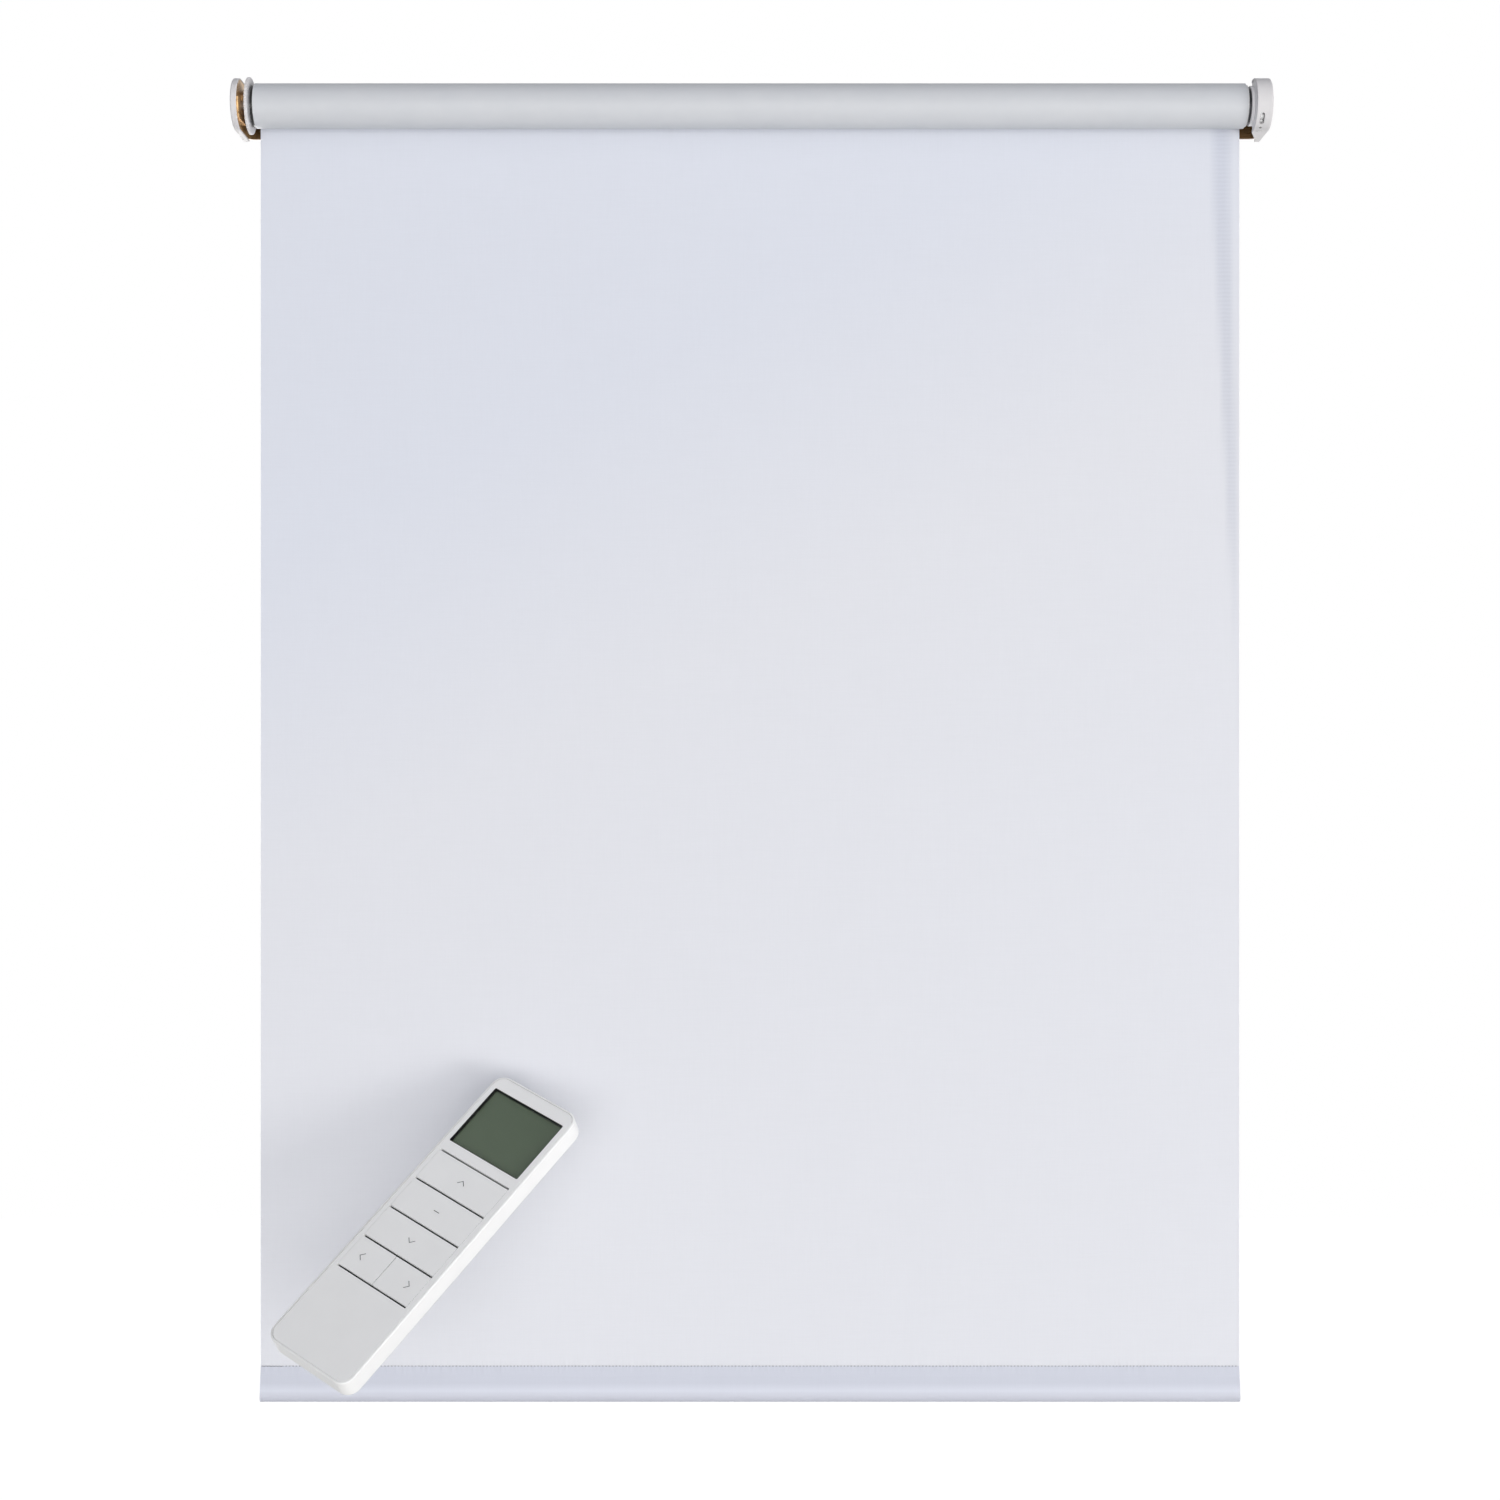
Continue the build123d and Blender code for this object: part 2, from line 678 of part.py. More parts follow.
sleeve = disc(cap_left, sleeve_right + sleeve_end, bearing_bore / 2)
sleeve += disc(cap_left, bearing_left, bearing_bore / 2 + sleeve_collar)
sleeve += disc(bearing_right + snug, bearing_right + sleeve_end, bearing_bore / 2 + sleeve_collar)
sleeve -= two_flats(cap_left - 1, sleeve_right, pin_radius + running, flat_half + running)
save("spindle_sleeve", sleeve)

spindle = disc(tip_left, tip_right, pin_radius)
spindle = fillet(spindle.edges().filter_by(GeomType.CIRCLE).sort_by(Axis.X)[0], 0.6)
spindle += two_flats(tip_right - 0.2, spindle_right, pin_radius, flat_half)
save("idler_spindle", spindle)

wheel = disc(wheel_left, wheel_right, wheel_radius)
wheel = fillet(wheel.edges().filter_by(GeomType.CIRCLE), wheel_thickness / 4)
grip_radius = 0.8
for index in range(wheel_grips):
    spot = Rot(360 / wheel_grips * index, 0, 0) * Pos(0, wheel_radius + grip_radius / 2, 0)
    grip = spot * Rot(0, 90, 0) * Cylinder(grip_radius, 2 * wheel_thickness)
    wheel -= Pos((wheel_left + wheel_right) / 2, axis_y, 0) * grip
wheel += disc(hub_left, wheel_left + 0.2, hub_radius)
wheel -= disc(hub_left - 1, wheel_right + 1, pin_radius + running)
save("adjusting_wheel", wheel)

# The hanging cloth, flat but for one shallow cockle by its right edge that dies out on the way down.
cockle_from = tube_end - 20.0
cockle_to = tube_end - 4.0
cockle_heights = ((0.0, 0.8), (0.42 * stitch_z, 0.5), (stitch_z + loose, 0.05))


def cloth_section(z, rise):
    """The cloth cut across at one height."""
    front = cloth_y - cloth_thickness / 2
    back = cloth_y + cloth_thickness / 2
    middle = (cockle_from + cockle_to) / 2
    edges = [
        Line((-tube_end, front), (cockle_from, front)),
        ThreePointArc((cockle_from, front), (middle, front + rise), (cockle_to, front)),
        Line((cockle_to, front), (tube_end, front)),
        Line((tube_end, front), (tube_end, back)),
        Line((tube_end, back), (cockle_to, back)),
        ThreePointArc((cockle_to, back), (middle, back + rise), (cockle_from, back)),
        Line((cockle_from, back), (-tube_end, back)),
        Line((-tube_end, back), (-tube_end, front)),
    ]
    return Pos(0, 0, z) * make_face(edges)


save("cloth", loft([cloth_section(z, rise) for z, rise in cockle_heights], ruled=True))

# Hem: a drop-shaped bar in a sewn pocket, with a cap in each end of the bar.
hem_centre = -drop + hem_radius
seam_half = cloth_thickness + contact
seam_height = stitch_z - hem_centre
slant = math.asin(hem_radius / math.hypot(seam_half, seam_height)) - math.atan(seam_half / seam_height)


def hem_section(inset, top):
    """The drop's outline, drawn in by an inset and cut level at a height above its centre."""
    radius = hem_radius - inset
    half = (radius - top * math.sin(slant)) / math.cos(slant)
    side = (radius * math.cos(slant), radius * math.sin(slant))
    outline = make_face(
        [
            Line((-half, top), (half, top)),
            Line((half, top), side),
            ThreePointArc(side, (0, -radius), (-side[0], side[1])),
            Line((-side[0], side[1]), (-half, top)),
        ]
    )
    return Pos(cloth_y, hem_centre) * outline


pocket = across(hem_section(0, seam_height), -tube_end, tube_end)
pocket -= across(hem_section(cloth_thickness, seam_height - 1.6), -tube_end - 1, tube_end + 1)
save("hem_pocket", pocket)

bar_inset = cloth_thickness + contact
bar_top = seam_height - 3.0
bar_end = tube_end - cap_thickness
bar = across(hem_section(bar_inset, bar_top), -bar_end, bar_end)
hollow_top = bar_top - 3.5
bar -= across(hem_section(bar_inset + bar_wall, hollow_top), -bar_end - 1, bar_end + 1)
save("hem_bar", bar)

caps = []
for side in (-1, 1):
    ends = sorted((side * bar_end, side * tube_end))
    cap = across(hem_section(bar_inset, bar_top), *ends)
    plug_ends = sorted((side * (bar_end - 8), side * (bar_end + 0.2)))
    cap += across(hem_section(bar_inset + bar_wall + contact, hollow_top - contact), *plug_ends)
    caps.append(cap)
save("hem_caps", *caps)

# Remote control. Its face is z = 0 in its own frame, and lengths run down from the display end. The front
# plate lies inside the back shell's rounded rim, with a fine groove round it.
turn = math.radians(handset_turn)
lean = math.radians(handset_lean)
roll = math.radians(handset_roll)
face_normal = Vector(-math.sin(turn) * math.cos(lean), -math.cos(turn) * math.cos(lean), math.sin(lean))
level = Vector(math.cos(turn), -math.sin(turn), 0)
rising = face_normal.cross(level)
face_right = level * math.cos(roll) - rising * math.sin(roll)
handset = Plane(origin=handset_place, x_dir=face_right, z_dir=face_normal)
half_length = handset_length / 2
half_width = handset_width / 2
back_z = -handset_thickness


def block(x_range, down_range, z_range):
    """A box on the remote, placed by its distances down from the display end."""
    return slab(x_range, [half_length - down for down in down_range], z_range)


def rounded(width, length, corner, z_from, z_to, down=half_length):
    """A plate with rounded corners, centred at a distance down from the display end."""
    outline = RectangleRounded(width, length, corner)
    return Pos(0, half_length - down, z_from) * extrude(outline, z_to - z_from, dir=(0, 0, 1))


def save_handset(name, *solids):
    """Write one node of the remote in its place."""
    save(name, *[handset * solid for solid in solids])


keys_bottom = keys_top + 4 * key_pitch
key_field_length = keys_bottom - keys_top + slot_width
key_field_middle = (keys_top + keys_bottom) / 2
display_middle = display_top + display_height / 2
lip = 1.2
lip_depth = 1.8
window_thickness = 0.8
window_margin = 1.2
panel_thickness = 1.2
board_top = -face_thickness - panel_thickness - 0.3
board_thickness = 1.2
bay_top = keys_bottom + 3.0
screw_places = ((24.0, 4.9), (26.0, 151.5))
boss_radius = 2.2
screw_shank = 0.8
screw_well = 4.0
screw_well_radius = 1.6
screw_tip = 1.0
plate_setback = rim_width + rim_groove
front = rounded(
    handset_width - 2 * plate_setback,
    handset_length - 2 * plate_setback,
    handset_corner - plate_setback,
    -face_thickness,
    0,
)
front = fillet(front.faces().sort_by(Axis.Z)[-1].edges(), 0.35)
lip_outer = shell_wall + contact
for sign in (-1, 1):
    rail = sorted((sign * (half_width - lip_outer - lip), sign * (half_width - lip_outer)))
    front += block(rail, (14, bay_top - 5), (-face_thickness - lip_depth, -face_thickness))
front -= rounded(display_width, display_height, 0.8, -5, 1, display_middle)
front -= rounded(
    display_width + 2 * window_margin + 0.2,
    display_height + 2 * window_margin + 0.2,
    1.0,
    -face_thickness - 1,
    -face_thickness + window_thickness + 0.05,
    display_middle,
)
front -= rounded(keys_width + 2 * key_side_gap, key_field_length, 0.59, -5, 1, key_field_middle)
for x, down in screw_places:
    for sign in (-1, 1):
        front -= Pos(sign * x, half_length - down, -face_thickness) * Cylinder(screw_shank + snug, 2.8)
save_handset("handset_front", front)

window = rounded(
    display_width + 2 * window_margin,
    display_height + 2 * window_margin,
    1.0,
    -face_thickness,
    -face_thickness + window_thickness,
    display_middle,
)
save_handset("display_window", window)
panel = rounded(
    display_width + 1.6,
    display_height + 1.6,
    0.4,
    -face_thickness - contact - panel_thickness,
    -face_thickness - contact,
    display_middle,
)
save_handset("display_panel", panel)

board = block((-25.5, 25.5), (8, 146), (board_top - board_thickness, board_top))
board += block((-9, 3), (66, 78), (board_top - board_thickness - 1.5, board_top - board_thickness + 0.2))
board += block((6, 20), (92, 104), (board_top - board_thickness - 2.2, board_top - board_thickness + 0.2))
board += block((-20, -12), (112, 132), (board_top - board_thickness - 2.8, board_top - board_thickness + 0.2))
save_handset("handset_board", board)

mat_top = -face_thickness - contact
mat_half = keys_width / 2 + 0.8
mat = block((-mat_half, mat_half), (keys_top - 2.4, keys_bottom + 2.4), (board_top + contact, mat_top))
key_rows = [keys_top + key_pitch * (row + 0.5) for row in range(4)]
half_key_x = keys_width / 4
key_middles = {
    "key_up": (0.0, key_rows[0]),
    "key_stop": (0.0, key_rows[1]),
    "key_down": (0.0, key_rows[2]),
    "key_left": (-half_key_x, key_rows[3]),
    "key_right": (half_key_x, key_rows[3]),
}
key_travel = 0.4
for x, down in key_middles.values():
    pip_top = -key_thickness - key_travel - snug
    pip_height = pip_top - mat_top + 0.2
    mat += Pos(x, half_length - down, pip_top - pip_height / 2) * Cylinder(4.0, pip_height)
save_handset("keypad_mat", mat)

divider = 0.35
mark_depth = 0.12
mark_width = 0.42


def chevron(x, down, heading):
    """A small engraved arrowhead that points the way that the heading says, in degrees from right."""
    arm = 2.4
    strokes = Polyline((-arm * 0.5, -arm), (arm * 0.5, 0), (-arm * 0.5, arm))
    mark = trace(strokes, line_width=mark_width)
    return Pos(x, half_length - down, -mark_depth) * Rot(0, 0, heading) * extrude(mark, 1, dir=(0, 0, 1))


headings = {"key_up": 90, "key_down": 270, "key_left": 180, "key_right": 0}
key_length = key_pitch - slot_width
for name, (x, down) in key_middles.items():
    width = keys_width if x == 0 else keys_width / 2 - divider / 2
    centre = x if x == 0 else math.copysign(keys_width / 4 + divider / 4, x)
    key = Pos(centre, 0, 0) * rounded(width, key_length, 0.3, -key_thickness, 0, down)
    key = fillet(key.faces().sort_by(Axis.Z)[-1].edges(), 0.15)
    if name in headings:
        key -= chevron(0 if x == 0 else math.copysign(17.6, x), down, headings[name])
    else:
        key -= block((-2.0, 2.0), (down - mark_width / 2, down + mark_width / 2), (-mark_depth, 1))
    save_handset(name, key)

# The back shell: a tub with screw bosses and a cell bay behind a sliding door.
back = rounded(handset_width, handset_length, handset_corner, back_z, 0)
back = fillet(back.faces().sort_by(Axis.Z)[0].edges(), 3.0)
back = fillet(back.faces().sort_by(Axis.Z)[-1].edges(), 1.0)
for wall, floor, top in ((shell_wall, back_z + shell_wall, 0), (rim_width, -face_thickness, 1)):
    back -= rounded(handset_width - 2 * wall, handset_length - 2 * wall, handset_corner - wall, floor, top)
back += block((-half_width + 1, half_width - 1), (bay_top - 1.4, bay_top), (back_z + 1, board_top - 1.6))
for x, down in screw_places:
    for sign in (-1, 1):
        at = Pos(sign * x, half_length - down, 0)
        height = handset_thickness - face_thickness - contact - 1
        back += at * Pos(0, 0, back_z + 1 + height / 2) * Cylinder(boss_radius, height)
for x, down in screw_places:
    for sign in (-1, 1):
        at = Pos(sign * x, half_length - down, 0)
        back -= at * Pos(0, 0, back_z) * Cylinder(screw_shank + snug, 2 * handset_thickness)
        back -= at * Pos(0, 0, back_z) * Cylinder(screw_well_radius, 2 * screw_well)
door_gap = 0.15
tongue_reach = 1.0
tongue_thickness = 0.55
door_half = door_width / 2
mouth_half = door_half + door_gap
groove_half = mouth_half + tongue_reach
groove_z = back_z + door_thickness - tongue_thickness - door_gap
door_run = (bay_top - snug, handset_length + 1)
back -= block((-mouth_half, mouth_half), door_run, (back_z - 1, back_z + door_thickness + door_gap))
back -= block((-groove_half, groove_half), door_run, (groove_z, back_z + door_thickness + door_gap))
back -= block(
    (-door_half - 0.5, door_half + 0.5),
    (bay_top, handset_length - shell_wall),
    (back_z, -face_thickness),
)
save_handset("handset_back", back)

door = block((-door_half, door_half), (bay_top + 0.1, handset_length), (back_z, back_z + door_thickness))
door += block(
    (-door_half - tongue_reach, door_half + tongue_reach),
    (bay_top + 0.1, handset_length - 9),
    (back_z + door_thickness - tongue_thickness, back_z + door_thickness),
)
end_shape = rounded(handset_width, handset_length, handset_corner, back_z, -face_thickness)
end_shape = fillet(end_shape.faces().sort_by(Axis.Z)[0].edges(), 3.0)
door &= end_shape
for row in range(5):
    down = bay_top + 8 + 1.6 * row
    door -= block((-6, 6), (down, down + 0.7), (back_z - 1, back_z + 0.35))
save_handset("battery_door", door)

cell_z = back_z + door_thickness + cell_room + aaa_diameter / 2
cell_top = bay_top + 1.4
small_cells = []
springs = []
for sign in (-1, 1):
    x = sign * (aaa_diameter / 2 + 0.4)
    body = Pos(x, half_length - cell_top - aaa_length / 2, cell_z) * Rot(90, 0, 0)
    can = body * Cylinder(aaa_diameter / 2, aaa_length - 1.4)
    can = fillet(can.edges().filter_by(GeomType.CIRCLE), 0.4)
    small_cells.append(can + body * Pos(0, 0, sign * 0.35) * Cylinder(1.9, aaa_length - 0.7))
    for down in (cell_top - 0.7, cell_top + aaa_length + 0.3):
        springs.append(block((x - 4, x + 4), (down, down + 0.4), (cell_z - 3.5, cell_z + 3.5)))
save_handset("handset_cells", *small_cells)
save_handset("handset_contacts", *springs)

head_height = 1.2
handset_screws = []
for x, down in screw_places:
    for sign in (-1, 1):
        at = Pos(sign * x, half_length - down, 0)
        seat = back_z + screw_well - snug
        shank_length = -screw_tip - seat
        screw = at * Pos(0, 0, seat + shank_length / 2) * Cylinder(screw_shank, shank_length)
        screw += at * Pos(0, 0, seat - head_height / 2) * Cylinder(screw_well_radius - contact, head_height)
        screw -= at * Pos(0, 0, seat - head_height) * Box(0.4, 1.8, head_height)
        screw -= at * Pos(0, 0, seat - head_height) * Box(1.8, 0.4, head_height)
        handset_screws.append(screw)
save_handset("handset_screws", *handset_screws)
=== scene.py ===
import math

import bpy
from mathutils import Matrix, Vector


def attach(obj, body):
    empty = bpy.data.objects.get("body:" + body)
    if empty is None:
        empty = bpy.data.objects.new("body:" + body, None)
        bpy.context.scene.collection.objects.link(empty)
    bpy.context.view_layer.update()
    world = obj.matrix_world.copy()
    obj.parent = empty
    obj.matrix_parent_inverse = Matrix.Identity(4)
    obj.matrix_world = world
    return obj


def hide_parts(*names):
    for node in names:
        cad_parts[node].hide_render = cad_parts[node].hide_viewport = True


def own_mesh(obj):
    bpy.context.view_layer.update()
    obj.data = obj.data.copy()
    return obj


# A roller blind for a window, wound by a battery motor inside its tube, with its two wall brackets and its
# hand-held remote control. Metres: +X runs along the roller to the right, +Y goes into the wall, and the
# roller's axis is at z = 0.
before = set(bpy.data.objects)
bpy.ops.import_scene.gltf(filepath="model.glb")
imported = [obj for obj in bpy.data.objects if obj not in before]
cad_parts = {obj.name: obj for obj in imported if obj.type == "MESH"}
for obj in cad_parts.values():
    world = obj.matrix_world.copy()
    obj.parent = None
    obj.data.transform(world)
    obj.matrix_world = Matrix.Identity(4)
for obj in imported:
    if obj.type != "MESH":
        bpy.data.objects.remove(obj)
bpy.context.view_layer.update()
bpy.ops.object.select_all(action="DESELECT")

# Camera
# It stands level, straight in front of the blind and at half its height, about a metre and a half away,
# with a lens of 60 mm on a full frame.
camera_away = 1.476
camera_height = -0.375
bpy.ops.object.camera_add(location=(0, -camera_away, camera_height), rotation=(math.radians(90), 0, 0))
camera = bpy.context.object
camera.name = "camera"
camera.data.sensor_width = 36
camera.data.lens = 60
bpy.context.scene.camera = camera

# Studio
# A pale floor in a white room that is brighter in front and darker overhead and behind. One big soft lamp
# stands in front, a smaller one low at the right, and one behind. The camera sees the room as plain white.
bpy.context.scene.view_settings.view_transform = "Standard"


def add_node(tree, kind, **values):
    """A node with its inputs and settings filled in by name."""
    made = tree.nodes.new("ShaderNode" + kind)
    for name, value in values.items():
        if name in made.inputs:
            made.inputs[name].default_value = value
        else:
            setattr(made, name, value)
    return made


def seen_directly(tree):
    """1 for what the camera sees, straight or in gloss or glass, and 0 for what only lights the room."""
    path = add_node(tree, "LightPath")
    direct = add_node(tree, "Math", operation="MAXIMUM")
    tree.links.new(path.outputs["Is Camera Ray"], direct.inputs[0])
    tree.links.new(path.outputs["Is Glossy Ray"], direct.inputs[1])
    either = add_node(tree, "Math", operation="MAXIMUM")
    tree.links.new(direct.outputs[0], either.inputs[0])
    tree.links.new(path.outputs["Is Transmission Ray"], either.inputs[1])
    return either.outputs[0]


brighter_side = (0.35, -0.57, -0.74)
darkest = 0.06
brightest = 0.95
world = bpy.data.worlds.new("studio")
world.use_nodes = True
bpy.context.scene.world = world
room = world.node_tree
direction = add_node(room, "TexCoord")
towards = add_node(room, "VectorMath", operation="DOT_PRODUCT")
towards.inputs[1].default_value = brighter_side
room.links.new(direction.outputs["Generated"], towards.inputs[0])
room_light = add_node(room, "MapRange")
room_light.inputs["From Min"].default_value = -1
room_light.inputs["To Min"].default_value = darkest
room_light.inputs["To Max"].default_value = brightest
room.links.new(towards.outputs["Value"], room_light.inputs["Value"])
room.links.new(room_light.outputs[0], room.nodes["Background"].inputs["Strength"])
room.nodes["Background"].inputs["Color"].default_value = (0.95, 0.97, 1.04, 1)
white_room = add_node(room, "Background", Color=(1, 1, 1, 1), Strength=1.0)
shown = add_node(room, "MixShader")
room.links.new(seen_directly(room), shown.inputs[0])
room.links.new(room.nodes["Background"].outputs[0], shown.inputs[1])
room.links.new(white_room.outputs[0], shown.inputs[2])
room.links.new(shown.outputs[0], room.nodes["World Output"].inputs["Surface"])

floor_height = -2.9
floor_lift = 0.85
bpy.ops.mesh.primitive_plane_add(size=24, location=(0, 0, floor_height))
floor = bpy.context.object
floor.name = "floor"
floor_paint = bpy.data.materials.new("floor_paint")
floor_paint.use_nodes = True
tree = floor_paint.node_tree
matt = tree.nodes["Principled BSDF"]
matt.inputs["Base Color"].default_value = (0.65, 0.65, 0.65, 1)
matt.inputs["Roughness"].default_value = 0.9
matt.inputs["Specular IOR Level"].default_value = 0.0
lift = add_node(tree, "Math", operation="MULTIPLY")
lift.inputs[1].default_value = floor_lift
tree.links.new(seen_directly(tree), lift.inputs[0])
glow = add_node(tree, "Emission", Color=(1, 1, 1, 1))
tree.links.new(lift.outputs[0], glow.inputs["Strength"])
both = add_node(tree, "AddShader")
tree.links.new(matt.outputs[0], both.inputs[0])
tree.links.new(glow.outputs[0], both.inputs[1])
tree.links.new(both.outputs[0], tree.nodes["Material Output"].inputs["Surface"])
floor.data.materials.append(floor_paint)

blind_middle = Vector((0, 0, -0.38))
for name, spot, size, power in (("front_lamp", (0.3, -5.1, -1.2), (7.0, 2.6), 119),
                                ("low_lamp", (4.0, -3.8, -2.4), (3.0, 1.6), 124),
                                ("back_lamp", (-1.6, 4.6, -1.4), (6.0, 2.6), 200)):
    bpy.ops.object.light_add(type="AREA", location=spot)
    lamp = bpy.context.object
    lamp.name = name
    lamp.data.shape = "RECTANGLE"
    lamp.data.size, lamp.data.size_y = size
    lamp.data.energy = power
    lamp.data.color = (1.0, 0.985, 0.955)
    lamp.rotation_euler = (blind_middle - lamp.location).to_track_quat("-Z", "Y").to_euler()
    lamp.visible_camera = False

# Brackets
# Each is a strip of steel, plated a golden brown and polished, bent round into a foot with two holes for
# wall screws. The left strip sits in a shallow moulded cover, and the right one is inside a deep one.


def blank(name):
    """A new finish: its tree and its shader."""
    material = bpy.data.materials.new(name)
    material.use_nodes = True
    return material, material.node_tree, material.node_tree.nodes["Principled BSDF"]


def place_on(tree, scale=(1, 1, 1), turn=(0, 0, 0), shift=(0, 0, 0)):
    """The object's own coordinates, stretched and turned for a pattern."""
    own = add_node(tree, "TexCoord")
    mapping = add_node(tree, "Mapping", Scale=scale, Rotation=turn, Location=shift)
    tree.links.new(own.outputs["Object"], mapping.inputs["Vector"])
    return mapping.outputs[0]


def speckle(tree, scale, stretch=(1, 1, 1), detail=3.0):
    """Noise of so many grains to the metre."""
    noise = add_node(tree, "TexNoise", Scale=scale, Detail=detail)
    tree.links.new(place_on(tree, stretch), noise.inputs["Vector"])
    return noise.outputs[0]


def between(tree, value, low, high, from_low=0.3, from_high=0.7):
    """A value brought into a range."""
    spread = add_node(tree, "MapRange")
    for name, amount in zip(("From Min", "From Max", "To Min", "To Max"), (from_low, from_high, low, high)):
        spread.inputs[name].default_value = amount
    tree.links.new(value, spread.inputs["Value"])
    return spread.outputs[0]


def two_tones(tree, factor, first, second):
    """One colour going over into another."""
    tones = add_node(tree, "Mix", data_type="RGBA")
    tones.inputs[6].default_value = (*first, 1)
    tones.inputs[7].default_value = (*second, 1)
    tree.links.new(factor, tones.inputs[0])
    return tones.outputs[2]


def relief(tree, shader, height, depth, below=None):
    """Bump of so many metres from a height between 0 and 1."""
    bump = add_node(tree, "Bump", Distance=depth, Strength=1.0)
    tree.links.new(height, bump.inputs["Height"])
    if below is not None:
        tree.links.new(below, bump.inputs["Normal"])
    tree.links.new(bump.outputs[0], shader.inputs["Normal"])
    return bump.outputs[0]


def metal(name, dark, light, roughness, streaks, clouding_or_reflection_bands=(90, (1, 1, 1)), depth=0.000004):
    """Bare or plated metal with fine marks drawn out one way."""
    material, tree, shader = blank(name)
    shader.inputs["Metallic"].default_value = 1.0
    # The clouds are a random tone, except on the plating, where they are drawn out into horizontal bands as
    # painted reflection.
    clouds = between(tree, speckle(tree, *clouding_or_reflection_bands, detail=2), 0, 1)
    tree.links.new(two_tones(tree, clouds, dark, light), shader.inputs["Base Color"])
    drawn = speckle(tree, 2200.0, streaks)
    rough = between(tree, drawn, roughness * 0.75, roughness * 1.3)
    tree.links.new(rough, shader.inputs["Roughness"])
    relief(tree, shader, drawn, depth)
    return material


def moulding(name, first, second, roughness, grain=2600.0, depth=0.000008, gloss=0.5):
    """Moulded plastic: a fine even grain, and a colour that clouds very slightly."""
    material, tree, shader = blank(name)
    shader.inputs["Specular IOR Level"].default_value = gloss
    clouds = speckle(tree, 60, detail=2)
    tree.links.new(two_tones(tree, between(tree, clouds, 0, 1), first, second), shader.inputs["Base Color"])
    fine = speckle(tree, grain)
    tree.links.new(between(tree, fine, roughness * 0.88, roughness * 1.12), shader.inputs["Roughness"])
    relief(tree, shader, fine, depth)
    return material


def dress(material, *names):
    """Give CAD nodes their finish."""
    for name in names:
        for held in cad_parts[name].material_slots:
            held.material = material


# Painted reflection: the plating's tone runs in narrow horizontal bands, standing for the room mirrored in
# the polished plate.
golden_plating = metal("golden_plating", (0.46, 0.28, 0.12), (0.86, 0.59, 0.30), 0.32, (0.05, 1, 1),
                       clouding_or_reflection_bands=(170, (0.2, 0.2, 1)))
# The plating is satin rather than mirror bright. Near the wall, where the foot lies in shade behind the
# roll, it is darkened to a dark brown as painted shade.
tree = golden_plating.node_tree
shader = tree.nodes["Principled BSDF"]
shader.inputs["Metallic"].default_value = 0.7
plated = shader.inputs["Base Color"].links[0].from_socket
from_wall = add_node(tree, "SeparateXYZ")
tree.links.new(place_on(tree), from_wall.inputs[0])
# Painted shade: the plating turns dark brown within a few millimetres of the wall.
foot_painted_shade = add_node(tree, "Mix", data_type="RGBA", blend_type="MULTIPLY")
foot_painted_shade.inputs[7].default_value = (0.20, 0.17, 0.13, 1)
tree.links.new(between(tree, from_wall.outputs["Y"], 0, 1, -0.006, -0.002), foot_painted_shade.inputs[0])
tree.links.new(plated, foot_painted_shade.inputs[6])
tree.links.new(foot_painted_shade.outputs[2], shader.inputs["Base Color"])
dress(golden_plating, "bracket_left", "bracket_right", "pin_socket")
cover_white = moulding("cover_white", (0.71, 0.695, 0.70), (0.75, 0.735, 0.74), 0.42, gloss=0.04)
dress(cover_white, "bracket_cover_left", "bracket_cover_right")

# Motor head
# The white block inside the right bracket's cover, held to the plate by two countersunk screws. It carries
# the charging socket, a small lens and the setting button.
head_white = moulding("head_white", (0.88, 0.87, 0.88), (0.90, 0.89, 0.90), 0.42, gloss=0.15)
dress(head_white, "motor_head")
bright_steel = metal("bright_steel", (0.58, 0.58, 0.59), (0.72, 0.72, 0.72), 0.16, (1, 0.1, 1))
dress(bright_steel, "charging_socket", "head_screws")
dress(moulding("lens_plastic", (0.16, 0.17, 0.15), (0.22, 0.23, 0.20), 0.12), "indicator_lens")
dress(moulding("button_plastic", (0.55, 0.55, 0.55), (0.60, 0.60, 0.60), 0.38), "setting_button")

# Motor
# A long steel casing, blackened, holds three cells in a cradle, the control board, the motor and a gearbox
# of two planet stages, and ends at a bush for the output shaft, which turns a wheel keyed to the tube.
dress(metal("black_steel", (0.030, 0.030, 0.032), (0.055, 0.055, 0.06), 0.32, (0.06, 1, 1)), "motor_casing")
dress(metal("motor_steel", (0.42, 0.42, 0.43), (0.56, 0.56, 0.56), 0.24, (1, 0.08, 1)),
      "motor_can", "ring_gear", "first_carrier", "output_shaft", "rotor_pinion")
black_moulding = moulding("black_moulding", (0.012, 0.012, 0.013), (0.022, 0.022, 0.024), 0.24)
dress(black_moulding, "battery_cradle", "output_bush", "drive_wheel")
gear_white = moulding("gear_plastic", (0.62, 0.60, 0.54), (0.68, 0.66, 0.60), 0.42)
dress(gear_white, "first_planet_a", "first_planet_b", "first_planet_c",
      "second_planet_a", "second_planet_b", "second_planet_c")
nickel = metal("nickel", (0.62, 0.60, 0.55), (0.74, 0.72, 0.67), 0.22, (1, 1, 0.1))
dress(nickel, "battery_tabs")
sleeve = moulding("cell_sleeve", (0.03, 0.06, 0.16), (0.05, 0.09, 0.22), 0.3)
dress(sleeve, "battery_cells")
board_green, tree, shader = blank("board_green")
tracks = add_node(tree, "TexVoronoi", Scale=420.0, feature="DISTANCE_TO_EDGE")
tree.links.new(place_on(tree), tracks.inputs["Vector"])
off_track = between(tree, tracks.outputs[0], 0, 1, 0.02, 0.06)
lacquer = two_tones(tree, off_track, (0.03, 0.12, 0.06), (0.012, 0.065, 0.03))
tree.links.new(lacquer, shader.inputs["Base Color"])
shader.inputs["Roughness"].default_value = 0.35
dress(board_green, "control_board")

